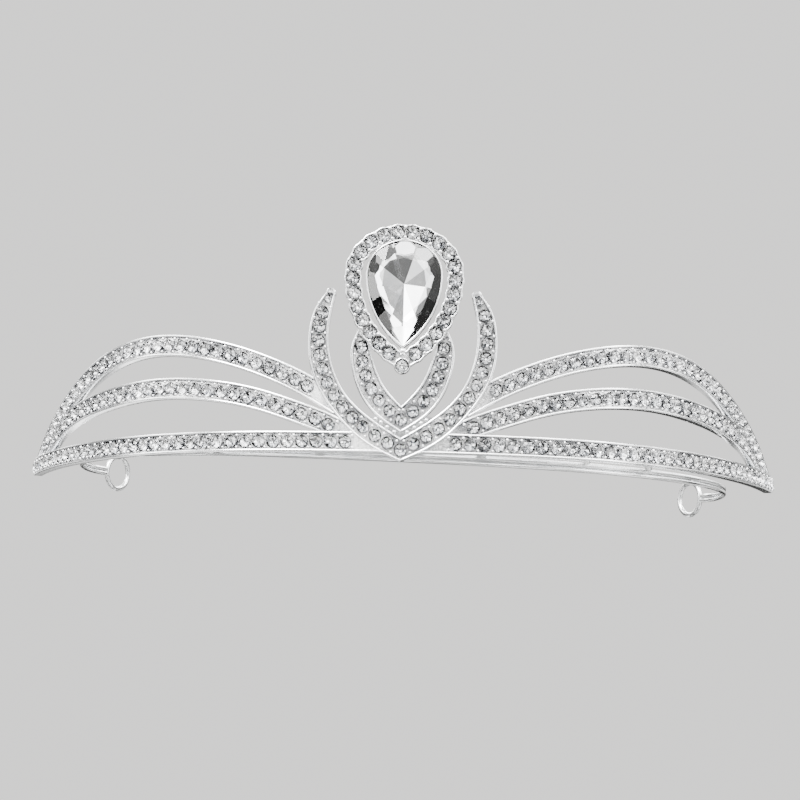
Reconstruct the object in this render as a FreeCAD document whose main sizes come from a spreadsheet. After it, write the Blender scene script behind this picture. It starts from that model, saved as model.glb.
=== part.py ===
import FreeCAD, Part
import math
import os
import Sketcher

from FreeCAD import Placement, Rotation, Vector

# A bridal tiara in plated cast alloy, set with round and pear-shaped crystals.
# Frame: millimetres, +Z up as worn, the front faces -Y, X = 0 is the middle.
# The origin is under the middle of the tiara, at the height of its lowest point.

doc = FreeCAD.newDocument("bridal_tiara")
dims = doc.addObject("Spreadsheet::Sheet", "Dims")

DIMENSIONS = {
    # where the ornament stands in the frame
    "front_depth": 32.2,
    "ornament_lift": 1.834,
    # plan curve of the front: three tangent arcs from the middle out to each tip
    "front_radius": 132.0,
    "front_run": 25.0,
    "shoulder_radius": 51.7,
    "shoulder_run": 30.0,
    "wing_radius": 85.0,
    "wing_run": 40.75,
    # cast channels
    "arm_thickness": 1.6,
    "rim_width": 0.42,
    "channel_depth": 0.5,
    "base_width": 3.5,
    "base_middle": 3.3,
    "middle_width": 3.7,
    "upper_width": 3.75,
    "crescent_thickness": 1.6,
    "crescent_setback": 0.3,
    "gusset_thickness": 1.1,
    # halo round the pear crystal
    "halo_thickness": 1.4,
    "halo_half_width": 10.1,
    "halo_top": 41.1,
    "halo_bottom": 15.9,
    "halo_widest": 32.2,
    "halo_inner_half_width": 7.4,
    "halo_inner_top": 38.5,
    "halo_inner_bottom": 18.2,
    # pear crystal and its bezel
    "pear_half_width": 6.4,
    "pear_length": 18.45,
    "pear_bottom": 19.9,
    "bezel_wall": 0.2,
    "bezel_depth": 1.5,
    "pear_crown": 1.7,
    "pear_pavilion": 2.6,
    "pear_table_ratio": 0.62,
    "pear_keel_ratio": 0.2,
    # small round stones
    "stone_pitch": 2.5,
    "stone_diameter": 2.2,
    "stone_table": 1.3,
    "stone_girdle": 0.45,
    "stone_crown": 0.4,
    "seat_gap": 0.03,
    "bead_diameter": 0.7,
    "collet_diameter": 2.7,
    "collet_bore": 2.26,
    "collet_length": 1.5,
    "collet_ahead": 2.2,
    "collet_floor": 0.8,
    "drop_height": 16.3,
    "link_height": 18.95,
    "link_diameter": 1.3,
    "link_length": 1.3,
    "link_ahead": 1.6,
    # headband of two round wires, and the pin eyes at its ends
    "wire_diameter": 0.85,
    "wire_spacing": 0.88,
    "band_front_radius": 130.2,
    "band_front_angle": 10.85,
    "band_side_radius": 47.2,
    "band_side_angle": 95.0,
    "band_end_radius": 15.0,
    "band_end_angle": 120.0,
    "band_height": 1.02,
    "band_tilt": 1.25,
    "band_pitch": 2.0,
    "eye_outer_diameter": 7.6,
    "eye_bore": 5.6,
    "eye_thickness": 1.0,
    "eye_edge_round": 0.3,
    "eye_overlap": 0.15,
    "solder_radius": 1.15,
}

for row, (alias, value) in enumerate(DIMENSIONS.items(), start=1):
    dims.set("A%d" % row, alias)
    dims.set("B%d" % row, str(value))
    dims.setAlias("B%d" % row, alias)
doc.recompute()


def dim(alias):
    """The number that the sheet holds under this alias."""
    return float(getattr(dims, alias))


FRONT_Y = -dim("front_depth")
LIFT = dim("ornament_lift")
SIDES = {"right": 1, "left": -1}

# Working clearances, in millimetres: how far outlines and cutters stand off the parts.
OUTLINE_AHEAD = 10.0
THROUGH = 3.0
CUT_PAST = 1.0
GUSSET_SETBACK = 0.1


# ---------------------------------------------------------------- plan curve

def plan_arcs():
    """The front's plan as (centre, radius, start angle, end angle) per arc, right side."""
    runs = (("front", "front_run"), ("shoulder", "shoulder_run"), ("wing", "wing_run"))
    centre = Vector(0, FRONT_Y + dim("front_radius"), 0)
    angle = 0.0
    radius = dim("front_radius")
    arcs = []
    for name, run in runs:
        new_radius = dim(name + "_radius")
        inward = Vector(-math.sin(angle), math.cos(angle), 0)
        centre = centre + inward * (new_radius - radius)
        radius = new_radius
        end = angle + dim(run) / radius
        arcs.append((centre, radius, angle, end))
        angle = end
    return arcs


ARCS = plan_arcs()
PLAN_RUN = dim("front_run") + dim("shoulder_run") + dim("wing_run")


def on_arc(centre, radius, angle):
    """A point of a plan arc, at this heading angle from +X."""
    return centre + Vector(math.sin(angle), -math.cos(angle), 0) * radius


def plan_point(run):
    """Place and heading of the front's mid-line, this far out along it."""
    left = run
    for centre, radius, start, end in ARCS:
        length = (end - start) * radius
        if left <= length or end == ARCS[-1][3]:
            angle = start + left / radius
            return on_arc(centre, radius, angle), angle
        left -= length


# ------------------------------------------------------- outlines and helpers

def curve(points):
    """A smooth edge through a few points."""
    spline = Part.BSplineCurve()
    spline.interpolate(points)
    return spline.toShape()


def outline_face(edges):
    return Part.Face(Part.Wire(Part.__sortEdges__(edges)))


def front_point(across, up):
    """A point in the plane of the front view, ahead of every part of the tiara."""
    return Vector(across, FRONT_Y - OUTLINE_AHEAD, up + LIFT)


def feature(name, shape):
    """A document object that holds a shape made by Part's own functions."""
    item = doc.addObject("Part::Feature", name)
    item.Shape = shape
    return item


def extrusion(name, face, along, start, length):
    """A face extruded along a direction, from a start offset, by a length expression."""
    base = feature(name + "_outline", face.OuterWire)
    item = doc.addObject("Part::Extrusion", name)
    item.Base = base
    item.DirMode = "Custom"
    item.Dir = along
    item.Solid = True
    item.setExpression("LengthFwd", length)
    item.Placement = Placement(along * start, Rotation())
    return item


def boolean(kind, name, base, tool):
    item = doc.addObject("Part::" + kind, name)
    item.Base = base
    item.Tool = tool
    return item


def mirrored(name, source):
    """The same piece on the other side of the tiara."""
    item = doc.addObject("Part::Mirroring", name)
    item.Source = source
    item.Normal = Vector(1, 0, 0)
    return item


UP = Vector(0, 0, 1)
BACK = Vector(0, 1, 0)

parts = {}


def part(node, item):
    """Name a finished sub-part after its node."""
    item.Label = node
    parts[node] = item
    return item


# ------------------------------------------------------------------ centre motif

OUTER_CRESCENT_LOWER = [
    (0, 0.1), (6.2, 3.3), (12.0, 9.0), (15.4, 15.0), (16.2, 21.5), (15.0, 26.6), (13.1, 29.3)]
OUTER_CRESCENT_TIP = (12.45, 29.8)
OUTER_CRESCENT_UPPER = [(11.75, 29.0), (12.65, 24.0), (12.3, 17.7), (9.9, 12.0), (5.0, 7.3), (0, 4.1)]
INNER_CRESCENT_LOWER = [(0, 5.05), (4.6, 8.3), (7.3, 12.0), (8.75, 16.7), (8.8, 19.9), (7.7, 22.8)]
INNER_CRESCENT_UPPER = [(5.9, 20.6), (5.0, 17.5), (3.25, 13.4), (0, 9.6)]


def front_points(pairs, side=1):
    """Points of the front view, on the right side or mirrored to the left."""
    return [front_point(side * across, up) for across, up in pairs]


def outer_crescent_face():
    edges = []
    for side in SIDES.values():
        lower = front_points(OUTER_CRESCENT_LOWER, side)
        upper = front_points(OUTER_CRESCENT_UPPER, side)
        tip = front_points([OUTER_CRESCENT_TIP], side)[0]
        edges += [curve(lower), Part.Arc(lower[-1], tip, upper[0]).toShape(), curve(upper)]
    return outline_face(edges)


def inner_crescent_face():
    edges = []
    for side in SIDES.values():
        lower = front_points(INNER_CRESCENT_LOWER, side)
        upper = front_points(INNER_CRESCENT_UPPER, side)
        edges += [curve(lower), Part.makeLine(lower[-1], upper[0]), curve(upper)]
    return outline_face(edges)


def channelled_plate(name, face, start, thickness):
    """A plate of this outline with a channel sunk in its front, inside a narrow rim."""
    blank = extrusion(name + "_blank", face, BACK, start, thickness)
    floor = face.makeOffset2D(-dim("rim_width"))
    floor = outline_face([edge.toNurbs().Edges[0] for edge in floor.OuterWire.Edges])
    recess = extrusion(name + "_recess", floor, BACK, start, "Dims.channel_depth")
    return boolean("Cut", name, blank, recess), blank


CRESCENT_START = OUTLINE_AHEAD - dim("crescent_setback")
outer_crescent, outer_blank = channelled_plate(
    "outer_crescent", outer_crescent_face(), CRESCENT_START, "Dims.crescent_thickness")
inner_crescent, inner_blank = channelled_plate(
    "inner_crescent", inner_crescent_face(), CRESCENT_START, "Dims.crescent_thickness")
part("outer_crescent", outer_crescent)
part("inner_crescent", inner_crescent)

# The gusset fills the narrow V between the two crescents.
GUSSET_CORNERS = [(-5.2, 7.95), (-4.6, 5.5), (0, 3.0), (4.6, 5.5), (5.2, 7.95), (0, 8.0)]
gusset_face = Part.Face(Part.makePolygon(front_points(GUSSET_CORNERS + GUSSET_CORNERS[:1])))
gusset_start = OUTLINE_AHEAD + GUSSET_SETBACK
gusset_blank = extrusion("gusset_blank", gusset_face, BACK, gusset_start, "Dims.gusset_thickness")
gusset_below = boolean("Cut", "gusset_below", gusset_blank, outer_blank)
gusset = part("gusset_plate", boolean("Cut", "gusset_plate", gusset_below, inner_blank))


# ------------------------------------------------------------------ pear shapes

def pear_face(half_width, top, bottom, widest=None):
    """Pear outline: a half ellipse over two long arcs that meet in a point."""
    widest = dim("halo_widest") if widest is None else widest
    drop = widest - bottom
    side_radius = (half_width ** 2 + drop ** 2) / (2 * half_width)
    middle = front_point(0, widest)
    corner = front_point(half_width, widest)
    crest = front_point(0, top)
    tip = front_point(0, bottom)
    dome = Part.ArcOfEllipse(Part.Ellipse(corner, crest, middle), 0, math.pi)
    half_turn = math.asin(drop / side_radius) / 2
    inset = side_radius * (1 - math.cos(half_turn))
    fall = side_radius * math.sin(half_turn)
    edges = [dome.toShape()]
    for side in SIDES.values():
        shoulder = front_point(side * half_width, widest)
        bulge = front_point(side * (half_width - inset), widest - fall)
        edges.append(Part.Arc(shoulder, bulge, tip).toShape())
    return outline_face(edges)


# Depths along Y are measured back from the plane of the outlines.
BEZEL_PROUD = 0.3
HALO_FRONT = CRESCENT_START - dim("halo_thickness")
BEZEL_FRONT = CRESCENT_START - dim("bezel_depth") - BEZEL_PROUD


def halo_casting():
    """A pear-shaped ring ahead of the petals, bored for the drop stone's collet."""
    outer_face = pear_face(dim("halo_half_width"), dim("halo_top"), dim("halo_bottom"))
    inner_face = pear_face(dim("halo_inner_half_width"), dim("halo_inner_top"), dim("halo_inner_bottom"))
    outer = extrusion("halo_outer", outer_face, BACK, HALO_FRONT, "Dims.halo_thickness")
    inner = extrusion("halo_inner", inner_face, BACK, HALO_FRONT, "Dims.halo_thickness")
    ring = boolean("Cut", "halo_ring", outer, inner)
    drop_seat = stud("drop_seat", "Dims.collet_diameter / 2", "drop_height", 2 * THROUGH, THROUGH)
    link_seat = stud("link_seat", "Dims.link_diameter / 2", "link_height", 2 * THROUGH, THROUGH)
    bored = boolean("Cut", "halo_bored", ring, drop_seat)
    return boolean("Cut", "halo_fitted", bored, link_seat)


def stud(name, radius, height, length, ahead):
    """A cylinder on the middle line, along Y, at this height of the ornament."""
    item = doc.addObject("Part::Cylinder", name)
    item.setExpression("Radius", radius)
    item.Height = length
    turn = Rotation(Vector(1, 0, 0), -90)
    item.Placement = Placement(Vector(0, FRONT_Y - ahead, dim(height) + LIFT), turn)
    return item


part("teardrop_halo", halo_casting())

PEAR_TOP = dim("pear_bottom") + dim("pear_length")
BEZEL_TIP = 0.5
BEZEL_CREST = 0.1
CREST_GAP = 0.2
bezel_half_width = dim("pear_half_width") + dim("bezel_wall")
bezel_face = pear_face(bezel_half_width, PEAR_TOP + BEZEL_CREST, dim("pear_bottom") - BEZEL_TIP)
bezel_bore_face = pear_face(dim("pear_half_width"), PEAR_TOP - CREST_GAP, dim("pear_bottom"))
bezel_blank = extrusion("bezel_blank", bezel_face, BACK, BEZEL_FRONT, "Dims.bezel_depth")
bezel_bore = extrusion("bezel_bore", bezel_bore_face, BACK, BEZEL_FRONT, "Dims.bezel_depth")
bezel_ring = boolean("Cut", "bezel_ring", bezel_blank, bezel_bore)


STONE_GAP = 0.02
GIRDLE_HALF = 0.2
GIRDLE_SHARE = 0.6
PEAR_MIDDLE_DROP = 1.5


def scaled_wire(face, ratio, forward):
    """The outline of a face, scaled about the pear's middle and moved forward along -Y."""
    middle = front_point(0, dim("halo_widest") - PEAR_MIDDLE_DROP)
    wire = face.OuterWire.copy()
    wire.scale(ratio, middle)
    wire.translate(Vector(0, OUTLINE_AHEAD - forward, 0))
    return wire


def pear_crystal():
    """Table, girdle and keel outlines of the pear, lofted into a closed stone."""
    girdle_face = pear_face(
        dim("pear_half_width") - STONE_GAP, PEAR_TOP - CREST_GAP - STONE_GAP, dim("pear_bottom") + STONE_GAP)
    girdle_forward = dim("crescent_setback") + dim("bezel_depth") * GIRDLE_SHARE
    table = scaled_wire(girdle_face, dim("pear_table_ratio"), girdle_forward + dim("pear_crown"))
    upper = scaled_wire(girdle_face, 1.0, girdle_forward + GIRDLE_HALF)
    lower = scaled_wire(girdle_face, 1.0, girdle_forward - GIRDLE_HALF)
    keel = scaled_wire(girdle_face, dim("pear_keel_ratio"), girdle_forward - dim("pear_pavilion"))
    crown = Part.makeLoft([table, upper], True, True)
    girdle = Part.makeLoft([upper, lower], True, True)
    pavilion = Part.makeLoft([lower, keel], True, True)
    return crown.fuse([girdle, pavilion])


crystal = part("pear_crystal", feature("pear_crystal_solid", pear_crystal()))
part("pear_bezel", boolean("Cut", "pear_bezel_fitted", bezel_ring, crystal))


# ------------------------------------------------------------------ three arms a side

# Each arm's mid-line as (run along the plan curve, height) from the crescent to the tip.
BASE_LINE = [(2.0, 3.3), (25.0, 3.3), (55.0, 3.3), (PLAN_RUN, 3.3)]
MIDDLE_LINE = [
    (7.4, 3.3), (12.3, 6.2), (17.2, 8.1), (24.2, 10.4), (33.5, 12.3), (45, 13.1), (56, 12.5), (67, 11.1),
    (77, 8.4), (84, 5.2)]
UPPER_LINE = [
    (10.6, 9.6), (17.2, 13.4), (24.2, 16.5), (34, 19.5), (46, 20.9), (58, 19.2), (68, 15.4), (80, 9.0),
    (89.6, 3.3)]
LINES = {"base": BASE_LINE, "middle": MIDDLE_LINE, "upper": UPPER_LINE}
HALF_THICK = dim("arm_thickness") / 2
BAR_STEPS = 16


def line_spline(line):
    """A mid-line as a smooth curve in the unrolled plane (x is the run, y the height)."""
    spline = Part.BSplineCurve()
    spline.interpolate([Vector(run, height, 0) for run, height in line])
    return spline


def rolled(run, height, outward):
    """A point of the arms' unrolled front put back on the plan curve, this far outward."""
    place, angle = plan_point(run)
    point = place + Vector(math.sin(angle), -math.cos(angle), 0) * outward
    point.z = height + LIFT
    return point


def arm_bar(spline, width, front, back, short=0.0):
    """A four-sided bar along a mid-line, between a front and a back offset of the plan curve."""
    length = spline.length() - short
    distances = [length * step / BAR_STEPS for step in range(BAR_STEPS + 1)]
    corners = [[], [], [], []]
    for distance in distances:
        parameter = spline.parameterAtDistance(distance)
        place = spline.value(parameter)
        along = spline.tangent(parameter)[0]
        across = Vector(-along.y, along.x, 0) * (width / 2)
        upper = place + across
        lower = place - across
        section = [(upper, front), (lower, front), (lower, back), (upper, back)]
        for chain, (point, outward) in zip(corners, section):
            chain.append(rolled(point.x, point.y, outward))
    edges = []
    for chain in corners:
        edge = Part.BSplineCurve()
        edge.interpolate(Points=chain, Parameters=distances)
        edges.append(edge.toShape())
    faces = [Part.makeRuledSurface(edges[index], edges[(index + 1) % 4]) for index in range(4)]
    for end in (0, -1):
        loop = [chain[end] for chain in corners]
        pair = [Part.makeLine(loop[0], loop[1]), Part.makeLine(loop[3], loop[2])]
        faces.append(Part.makeRuledSurface(*pair) if end else Part.makeRuledSurface(*pair[::-1]))
    shell = Part.makeShell(faces)
    shell.sewShape()
    bar = Part.makeSolid(shell)
    return bar if bar.Volume > 0 else bar.reversed()


# The blanks are the bars as cast; the cutters have the same outline and go right through.
rim = dim("rim_width")
splines = {name: line_spline(line) for name, line in LINES.items()}
blanks = {}
cutters = {}
recesses = {}
for name, spline in splines.items():
    width = dim(name + "_width")
    floor = HALF_THICK - dim("channel_depth")
    short = rim if name == "base" else 0.0
    bare = width - 2 * rim
    blanks[name] = feature(name + "_blank", arm_bar(spline, width, HALF_THICK, -HALF_THICK))
    past = HALF_THICK + CUT_PAST
    cutters[name] = feature(name + "_cutter", arm_bar(spline, width, past, -past))
    recesses[name] = feature(name + "_recess", arm_bar(spline, bare, past, floor, short))
cutter_start = OUTLINE_AHEAD - THROUGH
outer_cutter = extrusion(
    "outer_crescent_cutter", outer_crescent_face(), BACK, cutter_start, "Dims.crescent_thickness * 4")


def cut_all(name, item, tools):
    for index, tool in enumerate(tools, start=1):
        item = boolean("Cut", "%s_cut_%d" % (name, index), item, tool)
    return item


NEIGHBOURS = {
    "base": [outer_cutter],
    "upper": [outer_cutter, cutters["base"]],
    "middle": [outer_cutter, cutters["base"], cutters["upper"]],
}
for name, neighbours in NEIGHBOURS.items():
    arm = cut_all(name, blanks[name], neighbours + [recesses[name]])
    part("right_%s_arm" % name, arm)
    part("left_%s_arm" % name, mirrored("left_" + name, arm))


# ------------------------------------------------------------------ headband

def band_frame():
    """Placement of the headband: pitched up towards the back and tilted to one side."""
    tilt = Rotation(Vector(0, 1, 0), dim("band_tilt"))
    pitch = Rotation(Vector(1, 0, 0), dim("band_pitch"))
    return Placement(Vector(0, FRONT_Y, dim("band_height") + LIFT), tilt * pitch)


BAND_GAP = 0.05


def band_arcs():
    """Plan arcs of the headband's right half: centre, radius, start and end heading."""
    radii = [dim("band_%s_radius" % name) for name in ("front", "side", "end")]
    turns = [math.radians(dim("band_%s_angle" % name)) for name in ("front", "side", "end")]
    setback = dim("crescent_thickness") - dim("crescent_setback") + dim("wire_diameter") / 2 + BAND_GAP
    centre = Vector(0, radii[0] + setback, 0)
    start = 0.0
    arcs = []
    for index, (radius, end) in enumerate(zip(radii, turns)):
        if index:
            inward = Vector(-math.sin(start), math.cos(start), 0)
            centre = centre + inward * (radius - radii[index - 1])
        arcs.append((centre, radius, start, end))
        start = end
    return arcs


def band_tube(name, side, arc, height):
    """One arc of a headband wire: part of a ring, lying flat in the band's own plane."""
    centre, radius, start, end = arc
    item = doc.addObject("Part::Torus", name)
    item.Radius1 = radius
    item.setExpression("Radius2", "Dims.wire_diameter / 2")
    item.Angle3 = math.degrees(end - start)
    first = math.degrees(start) - 90 if side > 0 else -90 - math.degrees(end)
    place = Vector(side * centre.x, centre.y, height)
    item.Placement = band_frame() * Placement(place, Rotation(UP, first))
    return item


def band_end(side):
    """Place and heading of the headband's end, in the band's own plane."""
    centre, radius, start, end = band_arcs()[-1]
    place = on_arc(centre, radius, end)
    return Vector(side * place.x, place.y, 0), Vector(side * math.cos(end), math.sin(end), 0)


def eye_frame(side):
    """Placement of a pin eye: its axis lies level, across the headband's end."""
    place, heading = band_end(side)
    middle = place + heading * (dim("eye_outer_diameter") / 2 - dim("eye_overlap"))
    outward = Vector(side * heading.y, -side * heading.x, 0)
    turn = Rotation(Vector(0, 0, 1), outward)
    return band_frame() * Placement(middle, turn)


def pin_eye(side_name, side):
    """A flat ring with rounded edges, for a hair pin."""
    body = doc.addObject("PartDesign::Body", side_name + "_eye_body")
    plane = [item for item in body.Origin.OriginFeatures if item.Role == "XY_Plane"][0]
    sketch = body.newObject("Sketcher::SketchObject", side_name + "_eye_sketch")
    sketch.AttachmentSupport = (plane, [""])
    sketch.MapMode = "FlatFace"
    for index, alias in enumerate(("eye_outer_diameter", "eye_bore")):
        circle = sketch.addGeometry(Part.Circle(Vector(0, 0, 0), UP, dim(alias) / 2), False)
        sketch.addConstraint(Sketcher.Constraint("Coincident", circle, 3, -1, 1))
        size = sketch.addConstraint(Sketcher.Constraint("Diameter", circle, dim(alias)))
        sketch.setExpression("Constraints[%d]" % size, "Dims." + alias)
    pad = body.newObject("PartDesign::Pad", side_name + "_eye_pad")
    pad.Profile = sketch
    pad.Midplane = True
    pad.setExpression("Length", "Dims.eye_thickness")
    doc.recompute()
    outer = [
        "Edge%d" % (index + 1) for index, edge in enumerate(pad.Shape.Edges)
        if edge.Closed and abs(edge.Curve.Radius - dim("eye_outer_diameter") / 2) < 0.01]
    fillet = body.newObject("PartDesign::Fillet", side_name + "_eye_fillet")
    fillet.Base = (pad, outer)
    fillet.setExpression("Radius", "Dims.eye_edge_round")
    body.Placement = eye_frame(side)
    return body


eyes = {}
for side_name, side in SIDES.items():
    eyes[side_name] = part(side_name + "_pin_eye", pin_eye(side_name, side))


def eye_clearance(side_name, side):
    """The space that a pin eye takes, as a solid disc."""
    disc = doc.addObject("Part::Cylinder", side_name + "_eye_space")
    disc.setExpression("Radius", "Dims.eye_outer_diameter / 2")
    disc.Height = 2 * THROUGH
    disc.Placement = eye_frame(side) * Placement(Vector(0, 0, -THROUGH), Rotation())
    return disc


eye_spaces = [eye_clearance(side_name, side) for side_name, side in SIDES.items()]


def headband_wire(name, height):
    tubes = []
    for side_name, side in SIDES.items():
        for index, arc in enumerate(band_arcs(), start=1):
            tubes.append(band_tube("%s_%s_%d" % (name, side_name, index), side, arc, height))
    whole = doc.addObject("Part::MultiFuse", name + "_whole")
    whole.Shapes = tubes
    return cut_all(name, whole, eye_spaces)


wires = {}
for name, side in (("upper", 1), ("lower", -1)):
    height = side * dim("wire_spacing") / 2
    wires[name] = part(name + "_headband_wire", headband_wire(name + "_wire", height))
doc.recompute()


# ------------------------------------------------------------------ stones and small settings

def stone_blank():
    """A round stone on +Z: a girdle drum under a crown that narrows to the table."""
    girdle = doc.addObject("Part::Cylinder", "stone_girdle")
    girdle.setExpression("Radius", "Dims.stone_diameter / 2")
    girdle.setExpression("Height", "Dims.stone_girdle")
    crown = doc.addObject("Part::Cone", "stone_crown")
    crown.setExpression("Radius1", "Dims.stone_diameter / 2")
    crown.setExpression("Radius2", "Dims.stone_table / 2")
    crown.setExpression("Height", "Dims.stone_crown")
    crown.setExpression("Placement.Base.z", "Dims.stone_girdle")
    whole = doc.addObject("Part::MultiFuse", "stone_blank")
    whole.Shapes = [girdle, crown]
    return whole


blank_stone = stone_blank()
doc.recompute()


def placed(shape, place, outward):
    copy = shape.copy()
    copy.Placement = Placement(place, Rotation(UP, outward)) * copy.Placement
    return copy


def arm_seat(run, height, depth):
    """A point on the arm's front wall and its outward direction."""
    place, angle = plan_point(abs(run))
    outward = Vector(math.sin(angle), -math.cos(angle), 0)
    seat = place + outward * (HALF_THICK - depth)
    seat.z = height + LIFT
    if run < 0:
        seat.x = -seat.x
        outward.x = -outward.x
    return seat, outward


def stones_along(spline, first_share, last_share):
    """Stations along a curve, one stone pitch apart, between two shares of its length."""
    length = spline.length()
    count = int((last_share - first_share) * length / dim("stone_pitch")) + 1
    return [spline.value(spline.parameterAtDistance(first_share * length + index * dim("stone_pitch")))
            for index in range(count)]


SEAT_DEPTH = dim("channel_depth") - dim("seat_gap")


def arm_stones(spline, side, first_run, last_run):
    """The row of stones of one arm, from one run along it to another."""
    length = spline.length()
    stations = stones_along(spline, first_run / length, last_run / length)
    group = []
    for station in stations:
        seat, outward = arm_seat(side * station.x, station.y, SEAT_DEPTH)
        group.append(placed(blank_stone.Shape, seat, outward))
    return group


def tail_stones(spline, side):
    """The smaller and smaller stones where the middle arm runs in beside the upper one."""
    group = []
    for distance, sideways, radius in TAIL_STONES:
        parameter = spline.parameterAtDistance(distance)
        along = spline.tangent(parameter)[0]
        station = spline.value(parameter) + Vector(-along.y, along.x, 0) * sideways
        seat, outward = arm_seat(side * station.x, station.y, SEAT_DEPTH)
        stone = blank_stone.Shape.copy()
        stone.scale(radius / (dim("stone_diameter") / 2))
        group.append(placed(stone, seat, outward))
    return group


STONE_RUNS = {"base": (7.4, 91.2), "middle": (5.8, 67.0), "upper": (6.5, 80.0)}
# Distance along the middle line, offset up from it, and radius of each stone of the tail.
TAIL_STONES = [
    (68.2, -0.31, 1.06), (70.35, -0.53, 0.86), (72.2, -0.68, 0.71), (73.75, -0.78, 0.6), (75.1, -0.85, 0.54),
    (76.4, -0.91, 0.47)]
for side_name, side in SIDES.items():
    for name, (first, last) in STONE_RUNS.items():
        group = arm_stones(splines[name], side, first, last)
        if name == "middle":
            group += tail_stones(splines[name], side)
        node = "%s_%s_arm_stones" % (side_name, name)
        part(node, feature(node + "_group", Part.makeCompound(group)))


CRESCENT_STATIONS = 8


def crescent_line(lower, upper, ends):
    """Mid-line of a crescent's right half, between its two edges."""
    edges = [curve(front_points(lower)), curve(front_points(upper[::-1]))]
    points = []
    for step in range(CRESCENT_STATIONS + 1):
        share = ends[0] + (ends[1] - ends[0]) * step / CRESCENT_STATIONS
        pair = [edge.valueAt(edge.getParameterByLength(edge.Length * share)) for edge in edges]
        points.append((pair[0] + pair[1]) / 2)
    spline = Part.BSplineCurve()
    spline.interpolate(points)
    return spline


def plate_stones(line, face, end_gap):
    """Stones of both halves of a plate, smaller and closer where its channel narrows."""
    full = dim("stone_diameter") / 2
    between = dim("stone_pitch") - dim("stone_diameter")
    group = []
    distance = 0.0
    while distance < line.length() - end_gap:
        station = line.value(line.parameterAtDistance(distance))
        room = Part.Vertex(station).distToShape(face.OuterWire)[0] - dim("rim_width") - dim("seat_gap")
        radius = min(full, room)
        if radius < SMALLEST_STONE:
            break
        stone = blank_stone.Shape.copy()
        stone.scale(radius / full)
        for side in SIDES.values():
            if side > 0 or distance > 0:
                seat = Vector(side * station.x, FRONT_Y + CRESCENT_SEAT, station.z)
                group.append(placed(stone, seat, -BACK))
        distance += 2 * radius + between
    return Part.makeCompound(group)


SMALLEST_STONE = 0.3
CRESCENT_SEAT = SEAT_DEPTH - dim("crescent_setback")
OUTER_END_GAP = 0.9
INNER_END_GAP = 2.6
outer_line = crescent_line(OUTER_CRESCENT_LOWER, OUTER_CRESCENT_UPPER, (0, 0.97))
inner_line = crescent_line(INNER_CRESCENT_LOWER, INNER_CRESCENT_UPPER, (0, 0.93))
outer_stones = plate_stones(outer_line, outer_crescent_face(), OUTER_END_GAP)
inner_stones = plate_stones(inner_line, inner_crescent_face(), INNER_END_GAP)
part("outer_crescent_stones", feature("outer_stone_group", outer_stones))
part("inner_crescent_stones", feature("inner_stone_group", inner_stones))

HALO_START_GAP = 2.7
HALO_SAMPLES = 720


def halo_stones():
    """Stones all round the halo's band, clear of the drop stone's collet."""
    halfway = [(dim("halo_" + low) + dim("halo_inner_" + low)) / 2 for low in ("half_width", "top", "bottom")]
    middle = pear_face(*halfway).OuterWire
    ordered = Part.Wire(Part.__sortEdges__(middle.Edges))
    tip = front_point(0, halfway[2])
    points = ordered.discretize(Number=HALO_SAMPLES)
    points.pop()
    nearest = min(range(len(points)), key=lambda index: (points[index] - tip).Length)
    points = points[nearest:] + points[:nearest]
    length = ordered.Length - 2 * HALO_START_GAP
    count = round(length / dim("stone_pitch"))
    group = []
    for index in range(count + 1):
        share = (HALO_START_GAP + length * index / count) / ordered.Length
        place = points[int(round(share * len(points))) % len(points)]
        seat = Vector(place.x, FRONT_Y - OUTLINE_AHEAD + HALO_FRONT - dim("seat_gap"), place.z)
        group.append(placed(blank_stone.Shape, seat, -BACK))
    return Part.makeCompound(group)


part("halo_stones", feature("halo_stone_group", halo_stones()))


BORE_LENGTH = dim("collet_length") - dim("collet_floor")


def collet():
    """The drop stone's cup: a short tube closed at the back."""
    ahead = dim("collet_ahead")
    cup = stud("collet_blank", "Dims.collet_diameter / 2", "drop_height", dim("collet_length"), ahead)
    bore = stud("collet_bore", "Dims.collet_bore / 2", "drop_height", BORE_LENGTH, ahead)
    return boolean("Cut", "collet_cup", cup, bore)


part("drop_collet", collet())
drop_depth = BORE_LENGTH - dim("collet_ahead") - dim("seat_gap")
drop_seat = Vector(0, FRONT_Y + drop_depth, dim("drop_height") + LIFT)
part("drop_stone", feature("drop_stone_solid", placed(blank_stone.Shape, drop_seat, -BACK)))
link = stud("link_bead_blank", "Dims.link_diameter / 2", "link_height", dim("link_length"), dim("link_ahead"))
part("link_bead", boolean("Cut", "link_bead_fitted", link, bezel_blank))

# Across and height of each bead of the gusset's right half.
BEAD_PLACES = [(1.1, 5.15), (2.3, 5.95), (3.4, 6.75), (4.3, 7.3)]


def gusset_beads():
    """Small round beads on the gusset's front, in the V between the crescents."""
    radius = dim("bead_diameter") / 2
    group = []
    for across, up in BEAD_PLACES:
        for side in SIDES.values():
            place = Vector(side * across, FRONT_Y + GUSSET_SETBACK - radius, up + LIFT)
            group.append(Part.makeSphere(radius, place))
    return Part.makeCompound(group)


part("gusset_beads", feature("gusset_bead_group", gusset_beads()))

SOLDER_RUNS = (-46, -33, -14, 14, 33, 46)


def solder_joints():
    """Solder pads that bridge the gap between the base arms' backs and the headband's wires."""
    gap = dim("crescent_thickness") - dim("crescent_setback") + BAND_GAP - HALF_THICK
    group = []
    for run in SOLDER_RUNS:
        place, outward = arm_seat(run, dim("base_middle"), dim("arm_thickness") + dim("seat_gap"))
        slope = -math.sin(math.radians(dim("band_tilt"))) * place.x
        wires_middle = dim("band_height") + slope
        place.z = LIFT + wires_middle / 2 + dim("base_middle") / 2
        pad = Part.makeCylinder(dim("solder_radius"), gap - 2 * dim("seat_gap"))
        group.append(placed(pad, place, outward * -1))
    return Part.makeCompound(group)


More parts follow.
